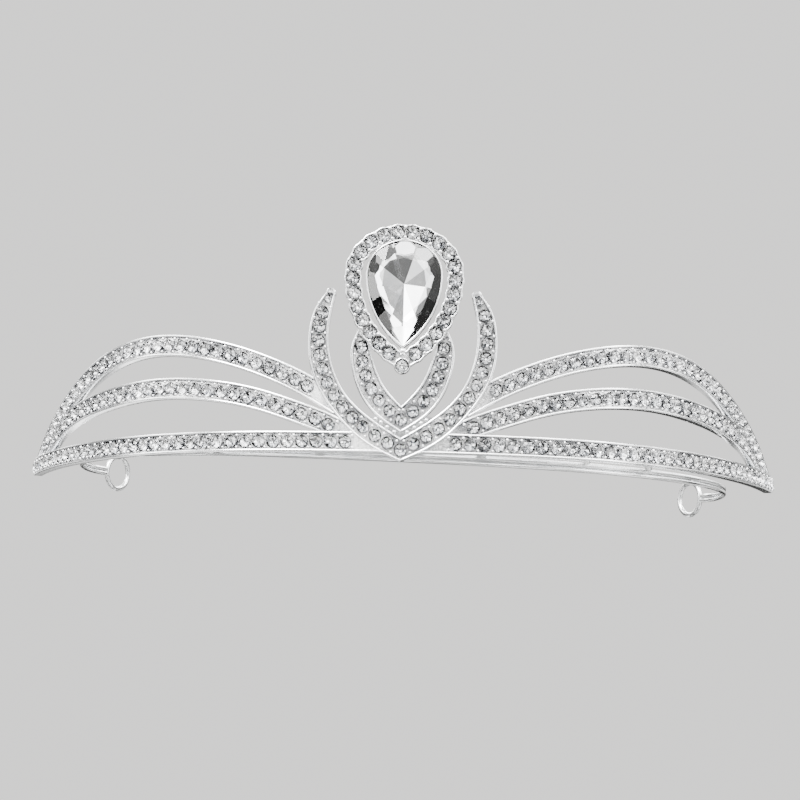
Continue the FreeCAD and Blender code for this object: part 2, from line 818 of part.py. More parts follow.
part("solder_joints", feature("solder_group", solder_joints()))


# ------------------------------------------------------------------ checks and files

doc.recompute()
faults = [item.Name for item in doc.Objects if {"Invalid", "Error"} & set(item.State)]
for node, item in parts.items():
    if item.Shape.isNull() or not item.Shape.isValid() or not item.Shape.Solids:
        faults.append(node)
if faults:
    raise RuntimeError("these objects failed: %s" % ", ".join(faults))

os.makedirs("parts", exist_ok=True)
for node, item in parts.items():
    item.Shape.exportStep("parts/%s.step" % node)
    box = item.Shape.BoundBox
    print("%-26s solids %3d volume %8.2f  x %7.2f %7.2f  y %7.2f %7.2f  z %6.2f %6.2f" % (
        node, len(item.Shape.Solids), item.Shape.Volume,
        box.XMin, box.XMax, box.YMin, box.YMax, box.ZMin, box.ZMax))
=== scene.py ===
import math
import random

import bmesh
import bpy
import numpy as np
from mathutils import Matrix, Vector

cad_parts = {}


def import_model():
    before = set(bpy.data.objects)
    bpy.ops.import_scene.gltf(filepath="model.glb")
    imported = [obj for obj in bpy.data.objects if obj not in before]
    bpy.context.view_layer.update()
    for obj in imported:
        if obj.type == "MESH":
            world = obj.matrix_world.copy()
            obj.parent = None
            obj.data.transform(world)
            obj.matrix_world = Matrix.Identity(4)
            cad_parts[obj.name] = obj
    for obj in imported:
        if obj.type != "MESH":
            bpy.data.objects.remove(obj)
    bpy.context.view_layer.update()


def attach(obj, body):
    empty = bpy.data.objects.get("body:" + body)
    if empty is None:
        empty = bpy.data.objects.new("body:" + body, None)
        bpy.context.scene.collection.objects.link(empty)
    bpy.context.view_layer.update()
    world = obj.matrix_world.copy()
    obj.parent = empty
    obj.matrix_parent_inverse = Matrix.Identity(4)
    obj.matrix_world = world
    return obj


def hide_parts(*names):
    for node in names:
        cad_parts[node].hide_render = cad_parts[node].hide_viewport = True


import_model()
random.seed(7)

MM = 0.001
BODY = "root"
SIDES = {"right": 1, "left": -1}

# ---------------- driving sizes, in millimetres

# where the front's middle stands, and how far the ornament is above the frame's lowest point
FRONT_Y = -32.2
LIFT = 1.834
# cast arms: the rim either side of a channel, and how deep the channel is sunk
HALF_THICK = 0.8
RIM = 0.42
SEAT = 0.78
BASE_MIDDLE = 3.3
WIDTHS = {"base": 3.5, "middle": 3.7, "upper": 3.75}
# plan curve of the front, from the middle out: (radius, length) of three tangent arcs
PLAN_ARCS = ((132.0, 25.0), (51.7, 30.0), (85.0, 40.75))
PLAN_RUN = sum(run for radius, run in PLAN_ARCS)
# round stones in their rows
STONE_PITCH = 2.5
STONE_RADIUS = 1.12
STONE_GAP = 0.26

# mid-lines of the arms as (distance along the plan curve, height)
BASE_LINE = [(2.0, BASE_MIDDLE), (25.0, BASE_MIDDLE), (55.0, BASE_MIDDLE), (PLAN_RUN, BASE_MIDDLE)]
MIDDLE_LINE = [
    (7.4, 3.3), (12.3, 6.2), (17.2, 8.1), (24.2, 10.4), (33.5, 12.3),
    (45, 13.1), (56, 12.5), (67, 11.1), (77, 8.4), (84, 5.2)]
UPPER_LINE = [
    (10.6, 9.6), (17.2, 13.4), (24.2, 16.5), (34, 19.5), (46, 20.9),
    (58, 19.2), (68, 15.4), (80, 9.0), (89.6, 3.3)]
LINES = {"base": BASE_LINE, "middle": MIDDLE_LINE, "upper": UPPER_LINE}
# where each arm's row of stones starts and ends along its mid-line
STONE_RUNS = {"base": (7.4, 91.2), "middle": (5.8, 67.0), "upper": (6.5, 80.0)}
# the middle arm's last stones: (distance along its mid-line, sideways, radius)
TAIL_STONES = [
    (68.2, -0.31, 1.06), (70.35, -0.53, 0.86), (72.2, -0.68, 0.71),
    (73.75, -0.78, 0.6), (75.1, -0.85, 0.54), (76.4, -0.91, 0.47)]

# right halves of the crescents' edges as (across, up), from the middle to the horn
OUTER_CRESCENT_LOWER = [
    (0, 0.1), (6.2, 3.3), (12.0, 9.0), (15.4, 15.0), (16.2, 21.5), (15.1, 26.6), (13.4, 29.2)]
OUTER_CRESCENT_UPPER = [(0, 4.1), (5.0, 7.3), (9.9, 12.0), (12.3, 17.7), (12.65, 24.0), (11.7, 29.05)]
INNER_CRESCENT_LOWER = [(0, 5.05), (4.6, 8.3), (7.3, 12.0), (8.75, 16.7), (8.8, 19.9), (7.7, 22.8)]
INNER_CRESCENT_UPPER = [(0, 9.6), (3.25, 13.4), (5.0, 17.5), (5.9, 20.6)]
OUTER_TIP = (12.55, 29.95)
INNER_TIP = (6.95, 22.3)
# how far the crescents' front face is ahead of the front's mid-plane, and their thickness
CRESCENT_FRONT = 0.3
CRESCENT_THICKNESS = 1.6
# a horn is solid this far in from its tip, then its channel sinks to full depth
SOLID_TIP = 0.9
RUN_OUT = 0.4

# pear outlines: (half width, top, bottom), all widest at the same height
PEAR_WIDEST = 32.2
HALO_OUTER = (10.3, 41.1, 15.9)
HALO_INNER = (7.4, 38.5, 18.2)
PEAR = (6.4, 38.35, 19.9)
PEAR_MIDDLE = 30.8
PEAR_STEPS = 160


# ---------------- curves

class Line:
    """A natural cubic spline through a few points, measured along its length."""

    def __init__(self, points, samples=600):
        points = np.array(points, float)
        chord = np.r_[0, np.cumsum(np.linalg.norm(np.diff(points, axis=0), axis=1))]
        count = len(points)
        gap = np.diff(chord)
        matrix = np.eye(count)
        right = np.zeros_like(points)
        for i in range(1, count - 1):
            matrix[i, i - 1:i + 2] = gap[i - 1], 2 * (gap[i - 1] + gap[i]), gap[i]
            ahead = (points[i + 1] - points[i]) / gap[i]
            behind = (points[i] - points[i - 1]) / gap[i - 1]
            right[i] = 6 * (ahead - behind)
        bend = np.linalg.solve(matrix, right)
        where = np.linspace(0, chord[-1], samples)
        index = np.clip(np.searchsorted(chord, where, side="right") - 1, 0, count - 2)
        width = gap[index][:, None]
        after = (where - chord[index])[:, None]
        before = width - after
        self.points = (
            bend[index] * before ** 3 / (6 * width) + bend[index + 1] * after ** 3 / (6 * width)
            + (points[index] / width - bend[index] * width / 6) * before
            + (points[index + 1] / width - bend[index + 1] * width / 6) * after)
        self.measure()

    def measure(self):
        """Records how far along the line each of its points is."""
        steps = np.linalg.norm(np.diff(self.points, axis=0), axis=1)
        self.reach = np.r_[0, np.cumsum(steps)]
        self.length = self.reach[-1]

    def at(self, distance):
        """The point this far along."""
        return np.array([np.interp(distance, self.reach, column) for column in self.points.T])

    def along(self, distance):
        """Unit direction of travel at this distance."""
        step = self.length * 0.002
        ahead = self.at(min(distance + step, self.length)) - self.at(max(distance - step, 0))
        return ahead / np.linalg.norm(ahead)


def plan_point(run):
    """Place and heading of the front's mid-line, this far out along its three arcs."""
    x, y, angle = 0.0, FRONT_Y, 0.0
    for index, (radius, length) in enumerate(PLAN_ARCS):
        last = index == len(PLAN_ARCS) - 1
        part = run if last else min(run, length)
        turn = part / radius
        x += radius * (math.sin(angle + turn) - math.sin(angle))
        y += radius * (math.cos(angle) - math.cos(angle + turn))
        angle += turn
        run -= part
        if run <= 0:
            break
    return x, y, angle


def rolled(run, height, outward=0.0):
    """A point of the arms' unrolled front on the plan curve, and the way outward there."""
    x, y, angle = plan_point(run)
    out = Vector((math.sin(angle), -math.cos(angle), 0))
    return Vector((x, y, height + LIFT)) + out * outward, out


def front(across, up, forward=0.0):
    """A point of the centre motif, this far ahead of the front's mid-plane."""
    return Vector((across, FRONT_Y - forward, up + LIFT))


def motif_ring(start, end, profile):
    """One ring of the motif: a profile laid from one point of its plane to another."""
    return [front(*(start + (end - start) * share), forward) for share, forward in profile]


def pear_edge(shape, steps):
    """Right half of a pear outline from its point up to its crest, as (across, up).

    An arc rises from the point to the widest place, and a quarter ellipse closes the top.
    """
    half_width, top, bottom = shape
    drop = PEAR_WIDEST - bottom
    radius = (half_width ** 2 + drop ** 2) / (2 * half_width)
    reach = math.asin(drop / radius)
    points = []
    for step in range(steps + 1):
        turn = reach * (1 - step / steps)
        points.append((half_width - radius * (1 - math.cos(turn)), PEAR_WIDEST - radius * math.sin(turn)))
    for step in range(1, steps + 1):
        turn = math.pi / 2 * step / steps
        points.append((half_width * math.cos(turn), PEAR_WIDEST + (top - PEAR_WIDEST) * math.sin(turn)))
    return points


class Polyline(Line):
    """A dense list of points, used as it is and measured along its length."""

    def __init__(self, points):
        self.points = np.array(points, float)
        self.measure()


# ---------------- mesh helpers

# sides of a channel's profile that are its sunk floor and inner walls, which take the darker metal of
# painted shade
FLOOR_SIDES = (7, 8, 9, 10, 11)
MERGE_DISTANCE = 1e-7


def channel_slots(sections, loop=False):
    """Material index of each face of a swept channel, or of a closed ring: 1 for its floor, which gets the
    painted shade.
    """
    one_span = [1 if side in FLOOR_SIDES else 0 for side in range(len(sections[0]))]
    return one_span * len(sections) if loop else one_span * (len(sections) - 1) + [0, 0]


def new_object(name, data):
    """An object in the scene for a mesh, a light or a camera."""
    obj = bpy.data.objects.new(name, data)
    bpy.context.scene.collection.objects.link(obj)
    return obj


def finish_mesh(name, verts, faces, materials, face_slots=None, sharp=35.0, flat=False):
    """A new object from points in millimetres, with crisp edges marked."""
    mesh = bpy.data.meshes.new(name)
    mesh.from_pydata([tuple(Vector(v) * MM) for v in verts], [], faces)
    for material in materials:
        mesh.materials.append(material)
    if face_slots:
        mesh.polygons.foreach_set("material_index", face_slots)
    obj = new_object(name, mesh)
    tidy_mesh(obj, sharp, flat)
    return obj


def tidy_mesh(obj, sharp=35.0, flat=False):
    """Merges doubles, points the faces outward and shades smooth between crisp edges."""
    work = bmesh.new()
    work.from_mesh(obj.data)
    bmesh.ops.remove_doubles(work, verts=work.verts, dist=MERGE_DISTANCE)
    bmesh.ops.recalc_face_normals(work, faces=work.faces)
    for face in work.faces:
        face.smooth = not flat
    limit = math.radians(sharp)
    for edge in work.edges:
        edge.smooth = len(edge.link_faces) == 2 and edge.calc_face_angle(0) < limit
    work.to_mesh(obj.data)
    work.free()


def loft(sections, loop=False):
    """Quads between rings of points: a closed loop, or a bar with one face at each end."""
    verts = [point for section in sections for point in section]
    size = len(sections[0])
    faces = []
    for ring in range(len(sections) if loop else len(sections) - 1):
        here = ring * size
        there = ((ring + 1) % len(sections)) * size
        for k in range(size):
            nxt = (k + 1) % size
            faces.append((here + k, here + nxt, there + nxt, there + k))
    if not loop:
        faces.append(tuple(range(size))[::-1])
        faces.append(tuple(range((len(sections) - 1) * size, len(sections) * size)))
    return verts, faces


BACK_BEVEL = 0.16
NARROW_RIM = 0.24
NARROW_DEPTH = 0.3


def channel_profile(width, front_face, back_face, rim, depth):
    """Half-round rims either side of a sunk floor, as (share across, outward) pairs.

    Where the channel is narrow, its rims and depth shrink to a share of its width.
    """
    rim = min(rim, width * NARROW_RIM)
    depth = min(depth, width * NARROW_DEPTH)
    floor = front_face - depth
    round_off = min(rim * 0.42, depth * 0.8)
    half = [
        (BACK_BEVEL, back_face), (0.0, back_face + BACK_BEVEL), (0.0, front_face - rim * 0.46),
        (round_off * 0.3, front_face - round_off * 0.35), (round_off, front_face),
        (rim - round_off, front_face), (rim - round_off * 0.3, front_face - round_off * 0.35),
        (rim, front_face - round_off * 1.1), (rim + 0.03, floor + depth * 0.12), (rim + 0.12, floor)]
    half = [(min(across / width, 0.5), out) for across, out in half]
    return half + [(1 - across, out) for across, out in half[::-1]]


def plain_profile(width, front_face, back_face, bevel):
    """A bar with softened corners, as (share across, outward) pairs."""
    share = min(bevel / width, 0.3)
    half = [(share, back_face), (0, back_face + bevel), (0, front_face - bevel * 1.2),
            (share * 0.35, front_face - bevel * 0.4), (share, front_face)]
    return half + [(1 - across, out) for across, out in half[::-1]]


def mirrored(obj, name):
    """A copy on the other side of X = 0."""
    copy = obj.copy()
    copy.data = obj.data.copy()
    copy.name = name
    copy.data.name = name
    copy.data.transform(Matrix.Scale(-1, 4, Vector((1, 0, 0))))
    copy.data.flip_normals()
    bpy.context.scene.collection.objects.link(copy)
    return copy


def cut(obj, cutters):
    """Takes the cutters' volume out of a mesh for good."""
    for cutter in cutters:
        step = obj.modifiers.new("cut", "BOOLEAN")
        step.operation = "DIFFERENCE"
        step.solver = "EXACT"
        step.object = cutter
    depsgraph = bpy.context.evaluated_depsgraph_get()
    result = bpy.data.meshes.new_from_object(obj.evaluated_get(depsgraph))
    obj.modifiers.clear()
    old = obj.data
    obj.data = result
    bpy.data.meshes.remove(old)
    tidy_mesh(obj)


def add_ball(bm, centre, radius, segments=10, rings=6):
    """A small ball in a mesh being built."""
    matrix = Matrix.Translation(Vector(centre) * MM)
    bmesh.ops.create_uvsphere(bm, u_segments=segments, v_segments=rings, radius=radius * MM, matrix=matrix)


def object_from(bm, name, material):
    """A smooth-shaded object from a mesh that is built in metres."""
    mesh = bpy.data.meshes.new(name)
    for face in bm.faces:
        face.smooth = True
    bm.to_mesh(mesh)
    bm.free()
    mesh.materials.append(material)
    return new_object(name, mesh)


def piece(obj, slot, *nodes):
    """Puts a finished piece on the body, and hides the CAD nodes that it stands for."""
    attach(obj, BODY)
    if nodes:
        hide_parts(*nodes)


# ---------------- materials

class Graph:
    """The node tree of a material or a world, built one node at a time."""

    def __init__(self, owner):
        owner.use_nodes = True
        self.nodes = owner.node_tree.nodes
        self.links = owner.node_tree.links

    def feed(self, node, inputs):
        """Sets each input to a value, or links it when the value is another node's output."""
        for key, value in inputs.items():
            if isinstance(value, bpy.types.NodeSocket):
                self.links.new(value, node.inputs[key])
            else:
                node.inputs[key].default_value = value
        return node

    def add(self, kind, inputs=None):
        """A new node with these inputs."""
        return self.feed(self.nodes.new("ShaderNode" + kind), inputs or {})

    def noise(self, scale, detail, stretch=None):
        """A noise pattern in the object's own space, in features per metre."""
        place = self.add("TexCoord").outputs["Object"]
        if stretch:
            place = self.add("Mapping", {"Vector": place, "Scale": stretch}).outputs["Vector"]
        pattern = self.add("TexNoise", {"Vector": place, "Scale": scale, "Detail": detail})
        return pattern.outputs["Fac"]

    def ramp(self, source, low, high, from_low=0.3, from_high=0.7, shape="LINEAR"):
        """A value mapped from one range to another."""
        step = self.add("MapRange", {
            "Value": source, "From Min": from_low, "From Max": from_high, "To Min": low, "To Max": high})
        step.interpolation_type = shape
        return step.outputs["Result"]

    def colours(self, source, stops):
        """A value turned into a colour, through these (position, colour) stops."""
        step = self.add("ValToRGB", {"Fac": source})
        while len(step.color_ramp.elements) < len(stops):
            step.color_ramp.elements.new(0.5)
        for element, (position, colour) in zip(step.color_ramp.elements, stops):
            element.position = position
            element.color = (*colour, 1)
        return step.outputs["Color"]

    def uneven(self, scale, detail, dark, light):
        """A tone that drifts between two colours."""
        return self.colours(self.noise(scale, detail), [(0.35, dark), (0.65, light)])


def new_material(name, inputs_of):
    """A material whose main shader takes the inputs that this function makes on its graph."""
    material = bpy.data.materials.new(name)
    graph = Graph(material)
    graph.feed(graph.nodes["Principled BSDF"], inputs_of(graph))
    return material


BUMP_HEIGHT = 0.00004


def metal(name, dark, light, gloss, grain, strength, stretch=None):
    """Plated metal: slow tone changes, and a fine grain in its gloss and its surface.

    The gloss is the lowest and highest roughness, and the grain is in features per metre.
    """
    def inputs_of(graph):
        fine = graph.noise(grain, 5.0, stretch)
        bump = graph.add("Bump", {"Strength": strength, "Distance": BUMP_HEIGHT, "Height": fine})
        return {
            "Metallic": 1.0, "Base Color": graph.uneven(260.0, 3.0, dark, light),
            "Roughness": graph.ramp(fine, *gloss), "Normal": bump.outputs["Normal"]}
    return new_material(name, inputs_of)


def crystal(name, tint_a, tint_b, ior):
    """Clear cut glass with a trace of tint that changes from stone to stone."""
    def inputs_of(graph):
        island = graph.add("NewGeometry").outputs["Random Per Island"]
        return {
            "Transmission Weight": 1.0, "IOR": ior,
            "Base Color": graph.colours(island, [(0.0, tint_a), (1.0, tint_b)]),
            "Roughness": graph.ramp(graph.noise(900.0, 3.0), 0.0, 0.008)}
    return new_material(name, inputs_of)


def foil(name, dark, light):
    """The mirror foil behind a stone's lower facets, a little uneven."""
    return new_material(name, lambda graph: {
        "Metallic": 1.0, "Base Color": graph.uneven(500.0, 2.0, dark, light),
        "Roughness": graph.ramp(graph.noise(900.0, 3.0), 0.015, 0.05)})


CASTING = metal(
    "plated_casting", (0.74, 0.75, 0.765), (0.87, 0.875, 0.88),
    gloss=(0.1, 0.24), grain=3200.0, strength=0.25)
# the channels' sunk floors and inner walls take a darker metal: painted shade in the recesses
CHANNEL_PAINTED_SHADE = metal(
    "plated_channel_painted_shade", (0.3, 0.305, 0.315), (0.85, 0.85, 0.855),
    gloss=(0.12, 0.4), grain=2200.0, strength=1.0)
BRIGHT = metal(
    "plated_setting", (0.82, 0.825, 0.835), (0.92, 0.92, 0.925),
    gloss=(0.06, 0.16), grain=4000.0, strength=0.12)
BEAD = metal(
    "plated_beads", (0.82, 0.825, 0.835), (0.93, 0.93, 0.935),
    gloss=(0.08, 0.18), grain=5000.0, strength=0.15)
WIRE = metal(
    "plated_wire", (0.72, 0.73, 0.74), (0.84, 0.845, 0.85),
    gloss=(0.12, 0.24), grain=2600.0, strength=0.15, stretch=(0.15, 0.15, 1.0))
SOLDER = metal(
    "plated_solder", (0.74, 0.745, 0.75), (0.88, 0.88, 0.885),
    gloss=(0.2, 0.4), grain=1800.0, strength=0.5)
STONE_GLASS = crystal("round_crystal_glass", (0.965, 0.975, 0.99), (0.995, 0.995, 0.99), 1.6)
STONE_FOIL = foil("round_crystal_foil", (0.86, 0.87, 0.89), (0.96, 0.96, 0.965))
# near-black foil on some lower facets: painted dark reflections that make the stones' dark facets
STONE_DARK_REFLECTION = foil("round_crystal_foil_painted_dark_reflection", (0.04, 0.042, 0.048), (0.16, 0.165, 0.175))
PEAR_GLASS = crystal("pear_crystal_glass", (0.975, 0.982, 0.99), (0.985, 0.988, 0.99), 1.58)
PEAR_FOIL = foil("pear_crystal_foil", (0.84, 0.85, 0.87), (0.94, 0.94, 0.945))


# ---------------- arms

def square_to(line, distance):
    """Unit direction square to a flat line's travel, to its left."""
    along = line.along(distance)
    return np.array([-along[1], along[0]])


def arm_section(line, distance, width, profile):
    """One ring of an arm's sweep: its profile square to the mid-line, rolled on the plan curve."""
    place = line.at(distance)
    across = square_to(line, distance)
    ring = []
    for share, outward in profile:
        spot = place + across * (0.5 - share) * width
        ring.append(rolled(spot[0], spot[1], outward)[0])
    return ring


ARM_STEP = 0.7
NOSE_SHARE = 1.2
NOSE_TURNS = np.linspace(0.2, 1.47, 8)
NARROWEST = 0.2


def arm_stations(line, nose):
    """Distances along an arm, closer together round its nose."""
    stations = list(np.linspace(0, line.length - nose, int(line.length / ARM_STEP) + 1))
    if nose:
        stations += [line.length - nose * (1 - math.sin(turn)) for turn in NOSE_TURNS]
    return stations


def arm_mesh(name, line, width, rounded):
    """A channelled arm with thin polished rims; a free end is rounded to a nose."""
    nose = width * NOSE_SHARE if rounded else 0.0
    sections = []
    for distance in arm_stations(line, nose):
        over = max(0.0, distance - (line.length - nose)) / nose if nose else 0.0
        here = max(width * math.sqrt(max(0.0, 1 - over ** 2)), NARROWEST)
        profile = channel_profile(here, HALF_THICK, -HALF_THICK, RIM, SEAT)
        sections.append(arm_section(line, distance, here, profile))
    return finish_mesh(name, *loft(sections), [CASTING, CHANNEL_PAINTED_SHADE], channel_slots(sections))


def arm_cutter(name, line, width):
    """The arm's whole width as a plain bar, thicker than the arm on both faces."""
    reach = HALF_THICK + 1
    profile = [(0, -reach), (0, reach), (1, reach), (1, -reach)]
    stations = np.linspace(0, line.length, 90)
    sections = [arm_section(line, distance, width, profile) for distance in stations]
    return finish_mesh(name, *loft(sections), [CASTING])


CAP_TURNS = (0.3, 0.6, 0.85, 1.1, 1.3, 1.45)


def crescent_rings(lower, upper, profile_of, steps, tip=None):
    """Rings of a crescent from its left horn to its right one, between its two edges.

    A tip rounds each horn off with a cap that ends there.
    """
    low, high = Line(lower), Line(upper)
    rings = []
    for share in np.linspace(0, 1, steps):
        a, b = low.at(low.length * share), high.at(high.length * share)
        rings.append((b, a))
    if tip is not None:
        b, a = rings[-1]
        middle = (a + b) / 2
        reach = np.array(tip) - middle
        for turn in CAP_TURNS:
            pull = reach * math.sin(turn)
            narrow = math.cos(turn)
            rings.append((middle + pull + (b - middle) * narrow, middle + pull + (a - middle) * narrow))
    end = (rings[-1][0] + rings[-1][1]) / 2
    sections = []
    for b, a in rings:
        width = float(np.linalg.norm(b - a))
        left_over = float(np.linalg.norm((a + b) / 2 - end))
        sections.append(motif_ring(b, a, profile_of(width, left_over)))
    left = []
    for ring in sections[:0:-1]:
        left.append([Vector((-point.x, point.y, point.z)) for point in ring])
    return left + sections


def crescent_profile(width, left_over):
    """The channel runs out a little before the horn's tip."""
    depth = SEAT * min(1.0, max(0.03, (left_over - SOLID_TIP) / RUN_OUT))
    return channel_profile(width, CRESCENT_FRONT, CRESCENT_FRONT - CRESCENT_THICKNESS, RIM, depth)


def slab_profile(width, left_over):
    """A thick plain section, the same all along, for cutters."""
    return [(0, -4.0), (0, 4.0), (1, 4.0), (1, -4.0)]


def crescent(name, lower, upper, steps, tip):
    """A V-shaped channelled casting with a horn at each end."""
    sections = crescent_rings(lower, upper, crescent_profile, steps, tip)
    return finish_mesh(name, *loft(sections), [CASTING, CHANNEL_PAINTED_SHADE], channel_slots(sections))


OUTER_CRESCENT = (OUTER_CRESCENT_LOWER, OUTER_CRESCENT_UPPER)
INNER_CRESCENT = (INNER_CRESCENT_LOWER, INNER_CRESCENT_UPPER)
OUTER_STEPS = 70
INNER_STEPS = 50
outer_crescent = crescent("outer_crescent_casting", *OUTER_CRESCENT, OUTER_STEPS, OUTER_TIP)
inner_crescent = crescent("inner_crescent_casting", *INNER_CRESCENT, INNER_STEPS, INNER_TIP)
piece(outer_crescent, "plated_casting", "outer_crescent")
piece(inner_crescent, "plated_casting", "inner_crescent")

outer_slab = crescent_rings(*OUTER_CRESCENT, slab_profile, OUTER_STEPS, OUTER_TIP)
outer_cutter = finish_mesh("outer_cutter", *loft(outer_slab), [CASTING])
lines = {name: Line(points) for name, points in LINES.items()}
cutters = {name: arm_cutter(name + "_cutter", lines[name], WIDTHS[name]) for name in ("base", "upper")}
# the arms that each arm stops against
NEIGHBOURS = {"base": [], "upper": ["base"], "middle": ["base", "upper"]}

for name, line in lines.items():
    arm = arm_mesh("right_%s_arm_casting" % name, line, WIDTHS[name], name == "base")
    cut(arm, [outer_cutter] + [cutters[other] for other in NEIGHBOURS[name]])
    other_arm = mirrored(arm, "left_%s_arm_casting" % name)
    piece(arm, "plated_casting", "right_%s_arm" % name)
    piece(other_arm, "plated_casting", "left_%s_arm" % name)
for cutter in [outer_cutter] + list(cutters.values()):
    bpy.data.objects.remove(cutter)


# ---------------- cut stones

# a round brilliant of radius 1: radii and heights of its rings of corners
TABLE_RATIO = 0.58
STAR_RATIO = 0.8
STAR_HEIGHT = 0.55
LOWER_RATIO = 0.52
CROWN = 0.36
GIRDLE = 0.07
PAVILION = 0.7


def brilliant():
    """The brilliant on +Z, girdle at zero: its points, its faces, and which faces are foiled."""
    verts = []
    faces = []

    def ring(radius, height, count, offset):
        first = len(verts)
        for k in range(count):
            angle = 2 * math.pi * (k + offset) / count
            verts.append((radius * math.cos(angle), radius * math.sin(angle), height))
        return [first + k for k in range(count)]

    table = ring(TABLE_RATIO, CROWN, 8, 0)
    star = ring(STAR_RATIO, CROWN * STAR_HEIGHT, 8, 0.5)
    girdle = ring(1.0, GIRDLE / 2, 16, 0)
    under = ring(1.0, -GIRDLE / 2, 16, 0)
    lower = ring(LOWER_RATIO, -PAVILION * 0.5, 8, 0.5)
    culet = len(verts)
    verts.append((0, 0, -PAVILION))

    faces.append(tuple(table))
    for k in range(8):
        nxt = (k + 1) % 8
        corner = girdle[2 * k]
        between = girdle[2 * k + 1]
        after = girdle[(2 * k + 2) % 16]
        faces.append((table[k], star[k], table[nxt]))
        faces.append((table[k], corner, star[k]))
        faces.append((table[nxt], star[k], after))
        faces.append((star[k], corner, between))
        faces.append((star[k], between, after))
    crown_faces = len(faces)
    for k in range(16):
        nxt = (k + 1) % 16
        faces.append((girdle[k], under[k], under[nxt], girdle[nxt]))
    for k in range(8):
        nxt = (k + 1) % 8
        corner = under[2 * k]
        between = under[2 * k + 1]
        after = under[(2 * k + 2) % 16]
        faces.append((lower[k], between, corner))
        faces.append((lower[k], after, between))
        faces.append((lower[k], corner, culet))
        faces.append((lower[k], culet, after))
    foiled = [0] * crown_faces + [1] * (len(faces) - crown_faces)
    return verts, faces, foiled


STONE = brilliant()
# share of the foiled facets painted dark, as painted reflections of dark surroundings, and how far a stone
# leans, in radians
DARK_REFLECTION_SHARE = 0.22
LEAN = 0.035


def add_stones(name, seats, node):
    """One mesh of all the stones of a group; each is turned and leans a little its own way."""
    verts = []
    faces = []
    slots = []
    shape, shape_faces, foiled = STONE
    for place, outward, radius in seats:
        turn = Vector((0, 0, 1)).rotation_difference(Vector(outward))
        spin = Matrix.Rotation(random.uniform(0, math.pi / 4), 3, "Z")
        lean_x = Matrix.Rotation(random.gauss(0, LEAN), 3, "X")
        lean_y = Matrix.Rotation(random.gauss(0, LEAN), 3, "Y")
        matrix = turn.to_matrix() @ (lean_x @ lean_y) @ spin
        first = len(verts)
        for x, y, z in shape:
            verts.append(Vector(place) + matrix @ Vector((x * radius, y * radius, z * radius)))
        faces += [tuple(first + index for index in face) for face in shape_faces]
        # a share of the foiled facets get the near-black foil: painted dark reflections
        slots += [2 if side and random.random() < DARK_REFLECTION_SHARE else side for side in foiled]
    obj = finish_mesh(name, verts, faces, [STONE_GLASS, STONE_FOIL, STONE_DARK_REFLECTION], slots, 1.0, True)
    piece(obj, "round_crystal", node)


def stone_count(first, last):
    """How many stones a row from first to last holds."""
    return int((last - first) / STONE_PITCH + 1e-6) + 1


def row_seats(line, first, last, girdle_out):
    """Seats one pitch apart along an arm: (place, outward, radius)."""
    seats = []
    for index in range(stone_count(first, last)):
        distance = first + index * STONE_PITCH
        spot = line.at(distance)
        place, out = rolled(spot[0], spot[1], girdle_out)
        seats.append((place, out, STONE_RADIUS))
    return seats


def tail_seats(line, girdle_out):
    """Seats of the shrinking stones where the middle arm runs in beside the upper one."""
    seats = []
    for distance, sideways, radius in TAIL_STONES:
        spot = line.at(distance) + square_to(line, distance) * sideways
        place, out = rolled(spot[0], spot[1], girdle_out)
        seats.append((place, out, radius))
    return seats


def flipped(vector):
    """The same point or direction on the other side of X = 0."""
    return Vector((-vector.x, vector.y, vector.z))


GRAIN_RADIUS = 0.27
GRAIN_INSET = 0.3
GRAIN_SINK = 0.08


def add_grains(bm, line, width, first, last, girdle_out):
    """Small raised grains in the gaps between neighbouring stones, against both rims."""
    for index in range(-1, stone_count(first, last)):
        distance = first + (index + 0.5) * STONE_PITCH
        if distance > line.length - 1 or distance < 0:
            continue
        spot = line.at(distance)
        across = square_to(line, distance)
        for side in (1, -1):
            seat = spot + across * side * (width / 2 - RIM - GRAIN_INSET)
            place, out = rolled(seat[0], seat[1], girdle_out - GRAIN_SINK)
            size = GRAIN_RADIUS * random.uniform(0.9, 1.12)
            add_ball(bm["right"], place, size)
            add_ball(bm["left"], flipped(place), size)


# the stones' girdles sit this far under the rims' faces
GIRDLE_SINK = 0.04
ARM_GIRDLE = HALF_THICK - GIRDLE_SINK
arm_grains = {side: bmesh.new() for side in SIDES}
for name, (first, last) in STONE_RUNS.items():
    seats = row_seats(lines[name], first, last, ARM_GIRDLE)
    if name == "middle":
        seats += tail_seats(lines[name], ARM_GIRDLE)
    add_stones("right_%s_arm_crystals" % name, seats, "right_%s_arm_stones" % name)
    other = [(flipped(place), flipped(out), radius) for place, out, radius in seats]
    add_stones("left_%s_arm_crystals" % name, other, "left_%s_arm_stones" % name)
    add_grains(arm_grains, lines[name], WIDTHS[name], first, last, ARM_GIRDLE)
for side, work in arm_grains.items():
    piece(object_from(work, side + "_arm_grains", BEAD), "plated_casting")


# ---------------- crescent stones

LAST_SHARE = 0.97
SEAT_SAMPLES = 120
SEAT_GAP = 0.02
SHORTEST_STEP = 1.1
GRAIN_SHARE = 0.98


